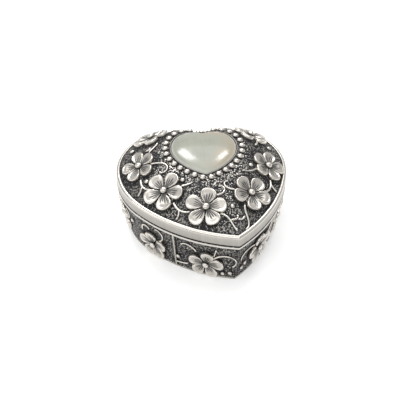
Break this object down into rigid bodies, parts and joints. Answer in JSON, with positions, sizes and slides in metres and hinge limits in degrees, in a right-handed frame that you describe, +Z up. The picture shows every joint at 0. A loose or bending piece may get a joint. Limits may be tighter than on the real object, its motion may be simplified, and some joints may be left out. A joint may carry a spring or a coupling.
{
  "type": "heart-shaped trinket box",
  "caption": "Small hollow cast box shaped like a heart, with flowers in relief and a lift-off domed lid that holds a heart-shaped stone.",
  "frame": {"origin": "on the surface the box stands on, under the middle of the bounding box of its outline", "axes": "+Z up, the tip of the heart towards -Y and the notch towards +Y, the swept tip off to +X"},
  "size_m": [0.08, 0.077, 0.0444],
  "materials": {
    "pewter": "cast pewter, antiqued dark in the stippled ground and polished bright on the relief, plain satin band",
    "stone": "polished milky grey-green cabochon with faint upright banding"
  },
  "bodies": {
    "root": {"box_base": "pewter", "box_lid": "pewter", "heart_stone": "stone"}
  },
  "joints": []
}
